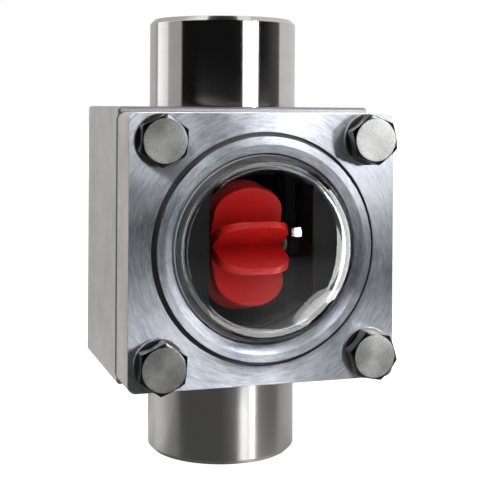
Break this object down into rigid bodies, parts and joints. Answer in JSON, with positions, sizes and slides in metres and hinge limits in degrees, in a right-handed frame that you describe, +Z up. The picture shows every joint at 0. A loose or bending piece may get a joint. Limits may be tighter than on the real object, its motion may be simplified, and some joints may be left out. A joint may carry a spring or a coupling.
{
  "type": "impeller flow indicator",
  "caption": "Square steel flow indicator for a vertical pipe, with threaded sockets above and below and a red vaned rotor turning behind a bolted domed sight glass.",
  "frame": {"origin": "on the flow axis at the end face of the inlet (lower) socket", "axes": "+Z up along the flow, from inlet to outlet; -Y out of the sight glass, towards the viewer; +X to the viewer's right"},
  "size_m": [0.08, 0.0784, 0.1366],
  "materials": {
    "ground_steel": "ground, fine lengthwise scratches",
    "turned_steel": "turned and polished",
    "brushed_plate": "face turned, fine round tool marks",
    "clear_glass": "polished clear",
    "fibre_gasket": "pressed fibre sheet",
    "black_rubber": "moulded rubber",
    "black_plastic": "satin moulded",
    "white_bush": "machined plain-bearing plastic",
    "pin_steel": "ground pin",
    "red_plastic": "moulded, soft gloss",
    "washer_steel": "stamped, tumbled",
    "bolt_steel": "forged head, satin"
  },
  "bodies": {
    "housing": {"body_block": "ground_steel", "inlet_socket": "turned_steel", "outlet_socket": "turned_steel", "cover_plate": "brushed_plate", "sight_glass": "clear_glass", "glass_gasket": "fibre_gasket", "glass_seal_ring": "black_rubber", "rotor_carrier": "black_plastic", "bearing_bush_left": "white_bush", "bearing_bush_right": "white_bush", "carrier_dowel_left": "pin_steel", "carrier_dowel_right": "pin_steel", "cover_washer_top_left": "washer_steel", "cover_bolt_top_left": "bolt_steel", "cover_washer_top_right": "washer_steel", "cover_bolt_top_right": "bolt_steel", "cover_washer_bottom_left": "washer_steel", "cover_bolt_bottom_left": "bolt_steel", "cover_washer_bottom_right": "washer_steel", "cover_bolt_bottom_right": "bolt_steel"},
    "rotor": {"rotor": "red_plastic", "rotor_shaft": "pin_steel"}
  },
  "joints": [
    {"name": "rotor_spin", "type": "hinge", "parent": "housing", "child": "rotor", "pos_m": [0, -0.0249, 0.0674], "axis": [1, 0, 0], "continuous": true}
  ]
}
